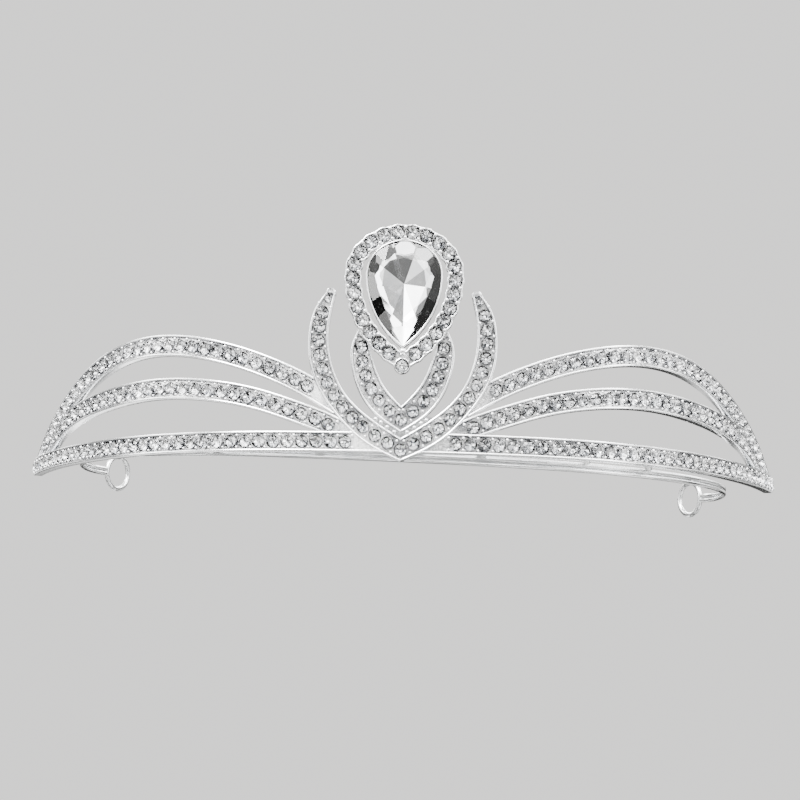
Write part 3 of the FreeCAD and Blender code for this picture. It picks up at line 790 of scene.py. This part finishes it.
def crescent_seats(lower, upper, last_gap):
    """Seats along a crescent's middle, smaller where its channel narrows, and the grains between."""
    low, high = Line(lower), Line(upper)
    shares = np.linspace(0, LAST_SHARE, SEAT_SAMPLES)
    pairs = [(low.at(low.length * share), high.at(high.length * share)) for share in shares]
    middle = Polyline([(a + b) / 2 for a, b in pairs])
    widths = [float(np.linalg.norm(a - b)) for a, b in pairs]
    seats = []
    between = []
    distance = 0.0
    while distance < middle.length - last_gap:
        share = distance / middle.length
        wide = float(np.interp(share, np.linspace(0, 1, SEAT_SAMPLES), widths))
        rim = min(RIM, wide * NARROW_RIM)
        radius = min(STONE_RADIUS, wide / 2 - rim - SEAT_GAP)
        seats.append((middle.at(distance), radius))
        step = min(STONE_PITCH, max(2 * radius + STONE_GAP, SHORTEST_STEP))
        spot = distance + step / 2
        if spot < middle.length:
            across = square_to(middle, spot)
            for side in (1, -1):
                between.append(middle.at(spot) + across * side * radius * GRAIN_SHARE)
        distance += step
    return seats, between


FORWARD = (0, -1, 0)
CRESCENT_GIRDLE = CRESCENT_FRONT - GIRDLE_SINK
CRESCENT_GRAIN = CRESCENT_GIRDLE - 0.06
# each crescent's edges, and how far before the end of its channel its last stone may sit
CRESCENTS = {"outer_crescent": (*OUTER_CRESCENT, 0.0), "inner_crescent": (*INNER_CRESCENT, 0.6)}
crescent_grains = bmesh.new()
for name, (lower, upper, last_gap) in CRESCENTS.items():
    seats, between = crescent_seats(lower, upper, last_gap)
    placed_seats = []
    for place, radius in seats:
        for side in (1, -1):
            if side > 0 or place[0] > 0.5:
                placed_seats.append((front(side * place[0], place[1], CRESCENT_GIRDLE), FORWARD, radius))
    add_stones(name + "_crystals", placed_seats, name + "_stones")
    for place in between:
        for side in (1, -1):
            spot = front(side * place[0], place[1], CRESCENT_GRAIN)
            add_ball(crescent_grains, spot, GRAIN_RADIUS * random.uniform(0.85, 1.05))
piece(object_from(crescent_grains, "crescent_grains", BEAD), "plated_casting")


# ---------------- halo

HALO_MIDDLE = tuple((a + b) / 2 for a, b in zip(HALO_OUTER, HALO_INNER))
HALO_BACK = CRESCENT_FRONT
HALO_FACE = CRESCENT_FRONT + 1.2
HALO_RIM = 0.28
HALO_SEAT = 0.86
HALO_GIRDLE = CRESCENT_FRONT + 1.25
HALO_STONES = 24
HALO_STONE_RADIUS = STONE_RADIUS * 1.05
HALO_GRAIN_RADIUS = 0.33
HALO_GRAIN_ASIDE = 0.92
HALO_GRAIN = HALO_GIRDLE - 0.02
# from the halo's point to its first stone, and half its width at a stone and between stones
START_GAP = 2.7
SCALLOP = 1.5
WAIST = 1.33


def closed_pear(shape, steps=PEAR_STEPS):
    """The whole pear outline, from its point up the right side and down the left."""
    half = pear_edge(shape, steps)
    return Polyline(half + [(-across, up) for across, up in half[-2::-1]])


halo_line = closed_pear(HALO_MIDDLE, 300)
halo_run = halo_line.length - 2 * START_GAP
halo_stations = [START_GAP + halo_run * index / (HALO_STONES - 1) for index in range(HALO_STONES)]


def halo_band():
    """The channelled ring under the stones; both its edges swell round each stone."""
    sections = []
    for distance in np.linspace(0, halo_line.length, 361)[:-1]:
        to_point = min(distance, halo_line.length - distance)
        near = min(min(abs(distance - station) for station in halo_stations), to_point)
        half = max(math.sqrt(max(0.0, SCALLOP ** 2 - near ** 2)), WAIST)
        place = halo_line.at(distance)
        at_point = to_point < halo_line.length * 0.004
        across = np.array([0.0, 1.0]) if at_point else square_to(halo_line, distance)
        profile = channel_profile(2 * half, HALO_FACE, HALO_BACK, HALO_RIM, HALO_SEAT)
        sections.append(motif_ring(place + across * half, place - across * half, profile))
    slots = channel_slots(sections, True)
    return finish_mesh("teardrop_halo_casting", *loft(sections, True), [CASTING, CHANNEL_PAINTED_SHADE], slots)


piece(halo_band(), "plated_casting", "teardrop_halo")
halo_seats = []
for distance in halo_stations:
    place = halo_line.at(distance)
    halo_seats.append((front(place[0], place[1], HALO_GIRDLE), FORWARD, HALO_STONE_RADIUS))
halo_grains = bmesh.new()
for distance in halo_stations[:-1]:
    spot = distance + halo_run / (HALO_STONES - 1) / 2
    across = square_to(halo_line, spot)
    for side in (1, -1):
        grain = halo_line.at(spot) + across * side * HALO_GRAIN_ASIDE
        size = HALO_GRAIN_RADIUS * random.uniform(0.9, 1.1)
        add_ball(halo_grains, front(grain[0], grain[1], HALO_GRAIN), size, 12, 8)
add_stones("halo_crystals", halo_seats, "halo_stones")
piece(object_from(halo_grains, "halo_grains", BEAD), "plated_casting")


# ---------------- pear crystal and its bezel

PEAR_GIRDLE = CRESCENT_FRONT + 1.0
# half the girdle's thickness, the table's height over its middle, the table's share of the
# outline, and how far the back point lies behind the girdle
GIRDLE_EDGE = 0.13
TABLE_HEIGHT = 0.72
TABLE_SHARE = 0.6
CULET_DEPTH = 1.5
# how steep the lesser facets are beside the main ones
LOWER_GIRDLE_SLOPE = 0.74
UPPER_GIRDLE_SLOPE = 0.6
STAR_SLOPE = 1.9
STAR_INSET = 0.94
# the bearing of every facet, in degrees
PAVILION_MAINS = (90, 50, 130, 10, 170, -26, -154, -56, -124, -90)
LOWER_GIRDLE = (77, 103, 62, 118, 34, 146, 21, 159, -6, 186, -19, 199, -38, 218, -62, 242)
CROWN_MAINS = (90, 56, 124, 24, 156, -8, 188, -30, 210, -70, 250)
UPPER_GIRDLE = (
    74, 106, 64, 116, 46, 134, 34, 146, 14, 166, 3, 177, -16, 196, -24, 204, -36, 216, -50, 230)
STARS = (73, 107, 40, 140, 8, 172, -20, 200, -46, 226)
# outline of the crystal itself, inside its bezel
CRYSTAL = (PEAR[0] - 0.05, PEAR[1] - 0.2, PEAR[2] + 0.05)
BLANK_SIDES = 128


def pear_stone():
    """A pear brilliant cut facet by facet out of a pear-shaped blank."""
    outline = closed_pear(CRYSTAL)
    ring = [outline.at(outline.length * k / BLANK_SIDES) - (0, PEAR_MIDDLE) for k in range(BLANK_SIDES)]
    levels = (-GIRDLE_EDGE - CULET_DEPTH - 0.2, TABLE_HEIGHT)
    verts, faces = loft([[(x, y, level) for x, y in ring] for level in levels])
    blank = bpy.data.meshes.new("pear_blank")
    blank.from_pydata(verts, [], faces)
    work = bmesh.new()
    work.from_mesh(blank)
    bpy.data.meshes.remove(blank)
    bmesh.ops.recalc_face_normals(work, faces=work.faces)

    def facet(direction, height, slope_of, share=1.0):
        """One flat cut that touches the outline, or a share of it, on this bearing."""
        across = Vector((math.cos(math.radians(direction)), math.sin(math.radians(direction)), 0))
        reach = max(across.x * x + across.y * y for x, y in ring)
        normal = across + Vector((0, 0, slope_of(reach)))
        place = across * reach * share + Vector((0, 0, height))
        everything = list(work.verts) + list(work.edges) + list(work.faces)
        made = bmesh.ops.bisect_plane(
            work, geom=everything, dist=1e-5, plane_co=place, plane_no=normal.normalized(),
            clear_outer=True)
        rim_edges = [item for item in made["geom_cut"] if isinstance(item, bmesh.types.BMEdge)]
        bmesh.ops.edgenet_fill(work, edges=rim_edges)

    def pavilion(reach):
        return -reach / CULET_DEPTH

    def crown(reach):
        return reach * (1 - TABLE_SHARE) / (TABLE_HEIGHT - GIRDLE_EDGE)

    for direction in PAVILION_MAINS:
        facet(direction, -GIRDLE_EDGE, pavilion)
    for direction in LOWER_GIRDLE:
        facet(direction, -GIRDLE_EDGE, lambda reach: pavilion(reach) * LOWER_GIRDLE_SLOPE)
    for direction in CROWN_MAINS:
        facet(direction, GIRDLE_EDGE, crown)
    for direction in UPPER_GIRDLE:
        facet(direction, GIRDLE_EDGE, lambda reach: crown(reach) * UPPER_GIRDLE_SLOPE)
    for direction in STARS:
        facet(direction, TABLE_HEIGHT, lambda reach: crown(reach) * STAR_SLOPE, TABLE_SHARE * STAR_INSET)
    bmesh.ops.remove_doubles(work, verts=work.verts, dist=1e-4)
    bmesh.ops.dissolve_limit(work, angle_limit=0.004, verts=work.verts, edges=work.edges)
    bmesh.ops.recalc_face_normals(work, faces=work.faces)
    work.normal_update()
    work.verts.index_update()
    verts = [front(vert.co.x, PEAR_MIDDLE + vert.co.y, PEAR_GIRDLE + vert.co.z) for vert in work.verts]
    faces = [tuple(vert.index for vert in face.verts) for face in work.faces]
    slots = [0 if face.normal.z > 0.05 else 1 for face in work.faces]
    work.free()
    return finish_mesh("pear_crystal_cut", verts, faces, [PEAR_GLASS, PEAR_FOIL], slots, 1.0, True)


piece(pear_stone(), "pear_crystal", "pear_crystal")


BEZEL_OUTER = (PEAR[0] + 0.2, PEAR[1] + 0.1, PEAR[2] - 0.4)
BEZEL_INNER = (PEAR[0] - 0.06, PEAR[1] - 0.2, PEAR[2] + 0.05)
BEZEL_WALL = 0.26
BEZEL_FACE = CRESCENT_FRONT + 1.35
BEZEL_BACK = CRESCENT_FRONT - 0.3
BEZEL_BEVEL = 0.08


def bezel():
    """A thin polished ring round the pear's girdle."""
    outer = closed_pear(BEZEL_OUTER)
    inner = closed_pear(BEZEL_INNER)
    sections = []
    for share in np.linspace(0, 1, 241)[:-1]:
        a, b = outer.at(outer.length * share), inner.at(inner.length * share)
        sections.append(motif_ring(a, b, plain_profile(BEZEL_WALL, BEZEL_FACE, BEZEL_BACK, BEZEL_BEVEL)))
    return finish_mesh("pear_bezel_ring", *loft(sections, True), [BRIGHT])


piece(bezel(), "plated_setting", "pear_bezel")


TURNED_SIDES = 40


def turned(name, height, rings, material):
    """A turned part on the middle line, from (radius, forward) pairs."""
    sections = []
    for radius, forward in rings:
        ring = []
        for k in range(TURNED_SIDES):
            angle = 2 * math.pi * k / TURNED_SIDES
            ring.append(front(radius * math.cos(angle), height + radius * math.sin(angle), forward))
        sections.append(ring)
    return finish_mesh(name, *loft(sections), [material])


DROP_HEIGHT = 16.3
DROP_GIRDLE = 2.0
LINK_HEIGHT = 18.95
COLLET = [
    (1.2, 0.72), (1.35, 0.85), (1.35, 2.05), (1.3, 2.17),
    (1.22, 2.2), (1.15, 2.12), (1.12, 1.9), (0.85, 1.3)]
LINK = [(0.62, 0.35), (0.66, 0.9), (0.64, 1.2), (0.55, 1.45), (0.4, 1.62), (0.2, 1.72), (0.05, 1.74)]
cup = turned("drop_collet_cup", DROP_HEIGHT, COLLET, BRIGHT)
piece(cup, "plated_setting", "drop_collet")
drop_seat = (front(0, DROP_HEIGHT, DROP_GIRDLE), (0, -1, 0), STONE_RADIUS)
add_stones("drop_crystal", [drop_seat], "drop_stone")
piece(turned("link_bead_ball", LINK_HEIGHT, LINK, BEAD), "plated_beads", "link_bead")


# ---------------- gusset

GUSSET = [(-5.2, 7.95), (-4.6, 5.5), (0, 3.0), (4.6, 5.5), (5.2, 7.95), (0, 8.0)]
GUSSET_FACES = (-0.1, -1.2)
GUSSET_BEADS = ((1.1, 5.15), (2.3, 5.95), (3.4, 6.75), (4.3, 7.3))
GUSSET_BEAD_RADIUS = 0.36
GUSSET_BEAD_AHEAD = 0.22


def gusset_plate():
    """The plate between the two crescents, trimmed to their edges."""
    rings = [[front(across, up, forward) for across, up in GUSSET] for forward in GUSSET_FACES]
    plate = finish_mesh("gusset_plate_casting", *loft(rings), [CASTING])
    cutters = []
    for edges in (OUTER_CRESCENT, INNER_CRESCENT):
        slab = crescent_rings(*edges, slab_profile, INNER_STEPS)
        cutters.append(finish_mesh("gusset_cutter", *loft(slab), [CASTING]))
    cut(plate, cutters)
    for cutter in cutters:
        bpy.data.objects.remove(cutter)
    return plate


piece(gusset_plate(), "plated_casting", "gusset_plate")
gusset_work = bmesh.new()
for across, up in GUSSET_BEADS:
    for side in (1, -1):
        add_ball(gusset_work, front(side * across, up, GUSSET_BEAD_AHEAD), GUSSET_BEAD_RADIUS, 16, 10)
piece(object_from(gusset_work, "gusset_grains", BEAD), "plated_beads", "gusset_beads")


# ---------------- headband

WIRE_RADIUS = 0.425
WIRE_SIDES = 20
# how far each wire's middle is above or below the band's plane
WIRE_GAP = 0.44
# plan curve of the band, from the middle out: (radius, heading in degrees where the arc ends)
BAND_ARCS = ((130.2, 10.85), (47.2, 95.0), (15.0, 120.0))
BAND_STEP = 1.5
BAND_SETBACK = CRESCENT_THICKNESS - CRESCENT_FRONT + WIRE_RADIUS + 0.05
BAND_HEIGHT = 1.02
BAND_TILT = math.radians(1.25)
BAND_PITCH = math.radians(2.0)
band_frame = (
    Matrix.Translation(Vector((0, FRONT_Y, BAND_HEIGHT + LIFT)))
    @ Matrix.Rotation(BAND_TILT, 4, "Y") @ Matrix.Rotation(BAND_PITCH, 4, "X"))


def band_plan():
    """The right half of the headband in its own plane, as (x, y, heading) every step."""
    centre = Vector((0, BAND_ARCS[0][0] + BAND_SETBACK, 0))
    start = 0.0
    points = []
    for index, (radius, end) in enumerate(BAND_ARCS):
        if index:
            centre += Vector((-math.sin(start), math.cos(start), 0)) * (radius - BAND_ARCS[index - 1][0])
        last = math.radians(end)
        steps = max(8, int((last - start) * radius / BAND_STEP))
        for step in range(steps + (index == len(BAND_ARCS) - 1)):
            angle = start + (last - start) * step / steps
            place = centre + Vector((math.sin(angle), -math.cos(angle), 0)) * radius
            points.append((place.x, place.y, angle))
        start = last
    return points


band_points = band_plan()


def wire(name, height):
    """A round wire all along the headband at this height in its plane."""
    path = [(-x, y, -angle) for x, y, angle in band_points[:0:-1]] + band_points
    sections = []
    for x, y, angle in path:
        outward = Vector((math.sin(angle), -math.cos(angle), 0))
        ring = []
        for k in range(WIRE_SIDES):
            turn = 2 * math.pi * k / WIRE_SIDES
            offset = outward * WIRE_RADIUS * math.cos(turn) + Vector((0, 0, WIRE_RADIUS * math.sin(turn)))
            ring.append(band_frame @ (Vector((x, y, height)) + offset))
        sections.append(ring)
    return finish_mesh(name, *loft(sections), [WIRE])


piece(wire("upper_headband_wire_drawn", WIRE_GAP), "plated_wire", "upper_headband_wire")
piece(wire("lower_headband_wire_drawn", -WIRE_GAP), "plated_wire", "lower_headband_wire")

# pin eyes: radius of the ring's mid-line, radius of its wire, and its overlap on the band's end
EYE_MAJOR = 3.3
EYE_MINOR = 0.5
EYE_OVERLAP = 0.15
EYE_STEPS = 72
EYE_SIDES = 16


def pin_eye(name, side):
    """A ring of the same wire at a headband end, its hole facing sideways."""
    x, y, angle = band_points[-1]
    heading = Vector((side * math.cos(angle), math.sin(angle), 0))
    outward = Vector((side * heading.y, -side * heading.x, 0))
    middle = Vector((side * x, y, 0)) + heading * (EYE_MAJOR + EYE_MINOR - EYE_OVERLAP)
    sections = []
    for k in range(EYE_STEPS):
        turn = 2 * math.pi * k / EYE_STEPS
        radial = heading * math.cos(turn) + Vector((0, 0, 1)) * math.sin(turn)
        ring = []
        for j in range(EYE_SIDES):
            angle = 2 * math.pi * j / EYE_SIDES
            reach = EYE_MAJOR + EYE_MINOR * math.cos(angle)
            offset = radial * reach + outward * EYE_MINOR * math.sin(angle)
            ring.append(band_frame @ (middle + offset))
        sections.append(ring)
    return finish_mesh(name, *loft(sections, True), [WIRE])


for side_name, side in SIDES.items():
    piece(pin_eye(side_name + "_pin_eye_ring", side), "plated_wire", side_name + "_pin_eye")


# where the drops sit along the front, and how far each reaches sideways and outward
SOLDER_RUNS = (-46, -33, -14, 14, 33, 46)
SOLDER_WIDE = 0.85
SOLDER_DEEP = 0.62
SOLDER_BEHIND = 0.35


def solder_blob(work, run):
    """A rounded, slightly uneven drop of solder between the arm's back and the wires."""
    x, y, angle = plan_point(abs(run))
    side = 1 if run > 0 else -1
    out = Vector((side * math.sin(angle), -math.cos(angle), 0))
    height = (BAND_HEIGHT - math.sin(BAND_TILT) * side * x + BASE_MIDDLE) / 2 + LIFT
    centre = Vector((side * x, y, height)) - out * (HALF_THICK + SOLDER_BEHIND)
    turn = Vector((0, 0, 1)).rotation_difference(out)
    matrix = Matrix.Translation(centre * MM) @ turn.to_matrix().to_4x4()
    made = bmesh.ops.create_icosphere(work, subdivisions=4, radius=MM, matrix=matrix)
    phase = [random.uniform(0, 6.28) for _ in range(3)]
    for vert in made["verts"]:
        ray = (vert.co / MM - centre)
        depth = ray.dot(out)
        flat = ray - out * depth
        around = math.atan2(flat.z, flat.x)
        swell = 1 + 0.1 * math.sin(3 * around + phase[0]) + 0.07 * math.sin(5 * around + phase[1])
        vert.co = (centre + flat * SOLDER_WIDE * swell + out * depth * SOLDER_DEEP) * MM


solder_work = bmesh.new()
for run in SOLDER_RUNS:
    solder_blob(solder_work, run)
piece(object_from(solder_work, "solder_blobs", SOLDER), "solder", "solder_joints")


# ---------------- stage, light and camera

FLOOR_COLOUR = (0.46, 0.455, 0.445)
FLOOR_SHADE = (0.445, 0.44, 0.43)


def floor_paint():
    """Plain matt paint; from below it is clear, so that a low camera sees past it."""
    material = new_material("floor_paint", lambda graph: {
        "Roughness": 0.6, "Specular IOR Level": 0.2,
        "Base Color": graph.uneven(6.0, 2.0, FLOOR_SHADE, FLOOR_COLOUR)})
    graph = Graph(material)
    mix = graph.add("MixShader", {
        "Fac": graph.add("NewGeometry").outputs["Backfacing"],
        1: graph.nodes["Principled BSDF"].outputs["BSDF"],
        2: graph.add("BsdfTransparent").outputs["BSDF"]})
    graph.feed(graph.nodes["Material Output"], {"Surface": mix.outputs["Shader"]})
    return material


# the points that the tiara stands on: under its middle, and under each pin eye
CONTACTS = [Vector((0, -31.7, 1.93)), Vector((58.9, 31.7, 0)), Vector((-58.8, 31.7, 2.56))]
FLOOR_GAP = 0.15
FLOOR_SIZE = 12.0


def floor():
    """A wide plane through the three points that the tiara stands on."""
    normal = (CONTACTS[1] - CONTACTS[0]).cross(CONTACTS[2] - CONTACTS[0]).normalized()
    if normal.z < 0:
        normal = -normal
    middle = sum(CONTACTS, Vector()) / 3 - normal * FLOOR_GAP
    mesh = bpy.data.meshes.new("floor")
    work = bmesh.new()
    bmesh.ops.create_grid(work, x_segments=1, y_segments=1, size=FLOOR_SIZE)
    work.to_mesh(mesh)
    work.free()
    mesh.materials.append(floor_paint())
    obj = new_object("floor", mesh)
    turn = Vector((0, 0, 1)).rotation_difference(normal)
    obj.matrix_world = Matrix.Translation(middle * MM) @ turn.to_matrix().to_4x4()
    obj.visible_glossy = False
    obj.visible_transmission = False


floor()


# brightness of the studio by height, from straight down (0) to straight up (1)
FRONT_BANDS = [
    (0.0, 0.5), (0.25, 0.9), (0.43, 0.6), (0.51, 0.7), (0.57, 2.1), (0.65, 3.9), (0.85, 5.5), (1.0, 4.0)]
REAR_BANDS = [
    (0.0, 0.5), (0.25, 0.6), (0.45, 0.25), (0.5, 0.2), (0.56, 0.6), (0.7, 1.6), (0.88, 3.2), (1.0, 1.5)]
# how far either side of the middle the front bands fade into the rear ones
FADE = 0.25
# patches that make the bands uneven: their fineness, how few are bright, and their range
PATCH_SCALE = 5.6
PATCH_POWER = 3.0
PATCH_RANGE = (0.12, 7.5)
BACKDROP = (0.74, 0.735, 0.725)
BACKDROP_STRENGTH = 1.75


def studio_colour(graph, parts):
    """The front bands ahead of the tiara and the rear bands behind it."""
    height = graph.ramp(parts.outputs["Z"], 0.0, 1.0, -1.0, 1.0)
    ahead, rear = [
        graph.colours(height, [(position, (level, level, level * 0.985)) for position, level in stops])
        for stops in (FRONT_BANDS, REAR_BANDS)]
    both = graph.add("Mix")
    both.data_type = "RGBA"
    turn = graph.ramp(parts.outputs["Y"], 0.0, 1.0, -FADE, FADE, "SMOOTHSTEP")
    graph.feed(both, {"Factor": turn, "A": ahead, "B": rear})
    return both.outputs["Result"]


def patch_strength(graph, direction):
    """Strength that changes from patch to patch; most patches are dim and a few are bright."""
    patches = graph.add("TexVoronoi", {"Vector": direction, "Scale": PATCH_SCALE})
    patches.feature = "F1"
    cell = graph.add("SeparateColor", {"Color": patches.outputs["Color"]})
    peak = graph.add("Math")
    peak.operation = "POWER"
    graph.feed(peak, {0: cell.outputs["Red"], 1: PATCH_POWER})
    return graph.ramp(peak.outputs["Value"], *PATCH_RANGE, 0.0, 1.0)


def world():
    """Pale backdrop; what the metal and stones mirror is a soft studio with uneven bands."""
    studio = bpy.data.worlds.new("studio")
    bpy.context.scene.world = studio
    graph = Graph(studio)
    graph.nodes.clear()
    direction = graph.add("TexCoord").outputs["Generated"]
    parts = graph.add("SeparateXYZ", {"Vector": direction})
    around = graph.add("Background", {
        "Color": studio_colour(graph, parts), "Strength": patch_strength(graph, direction)})
    backdrop = graph.add("Background", {"Color": (*BACKDROP, 1), "Strength": BACKDROP_STRENGTH})
    mix = graph.add("MixShader", {
        "Fac": graph.add("LightPath").outputs["Is Camera Ray"],
        1: around.outputs["Background"], 2: backdrop.outputs["Background"]})
    graph.add("OutputWorld", {"Surface": mix.outputs["Shader"]})


world()


# soft boxes in metres and watts: place, size, power
LIGHTS = {
    "key_light": ((-0.25, -0.45, 0.5), (0.3, 0.25), 12.0),
    "fill_light": ((0.5, -0.35, 0.2), (0.25, 0.4), 2.5),
    "back_light": ((0.1, 0.6, 0.45), (0.5, 0.3), 4.0),
}
LIT_POINT = Vector((0, 0, 0.02))


def softbox(name, place, size, power):
    """A soft rectangular light, aimed at the tiara."""
    data = bpy.data.lights.new(name, "AREA")
    data.shape = "RECTANGLE"
    data.size, data.size_y = size
    data.energy = power
    obj = new_object(name, data)
    turn = (LIT_POINT - Vector(place)).to_track_quat("-Z", "Y")
    obj.matrix_world = Matrix.Translation(Vector(place)) @ turn.to_matrix().to_4x4()


for name, (place, size, power) in LIGHTS.items():
    softbox(name, place, size, power)

CAMERA_YAW = math.radians(-0.71)
CAMERA_RISE = math.radians(9.24)
CAMERA_ROLL = math.radians(1.45)
CAMERA_DISTANCE = 300
CAMERA_RIGHT = -0.05
CAMERA_UP = 7.3
LENS = 79.49


def camera():
    """The camera looks slightly up at the front, a little rolled."""
    middle = Vector((0, FRONT_Y, BASE_MIDDLE + LIFT))
    across = Vector((math.cos(CAMERA_YAW), -math.sin(CAMERA_YAW), 0))
    level = Vector((math.sin(CAMERA_YAW), math.cos(CAMERA_YAW), 0))
    upward = level * -math.sin(CAMERA_RISE) + Vector((0, 0, math.cos(CAMERA_RISE)))
    ahead = level * math.cos(CAMERA_RISE) + Vector((0, 0, math.sin(CAMERA_RISE)))
    right = across * math.cos(CAMERA_ROLL) + upward * math.sin(CAMERA_ROLL)
    top = across * -math.sin(CAMERA_ROLL) + upward * math.cos(CAMERA_ROLL)
    place = middle - ahead * CAMERA_DISTANCE + right * CAMERA_RIGHT + top * CAMERA_UP
    data = bpy.data.cameras.new("camera")
    data.lens = LENS
    data.sensor_width = 36.0
    data.clip_start = 0.01
    data.clip_end = 20.0
    obj = new_object("camera", data)
    turn = Matrix((right, top, -ahead)).transposed().to_4x4()
    obj.matrix_world = Matrix.Translation(place * MM) @ turn
    bpy.context.scene.camera = obj


camera()
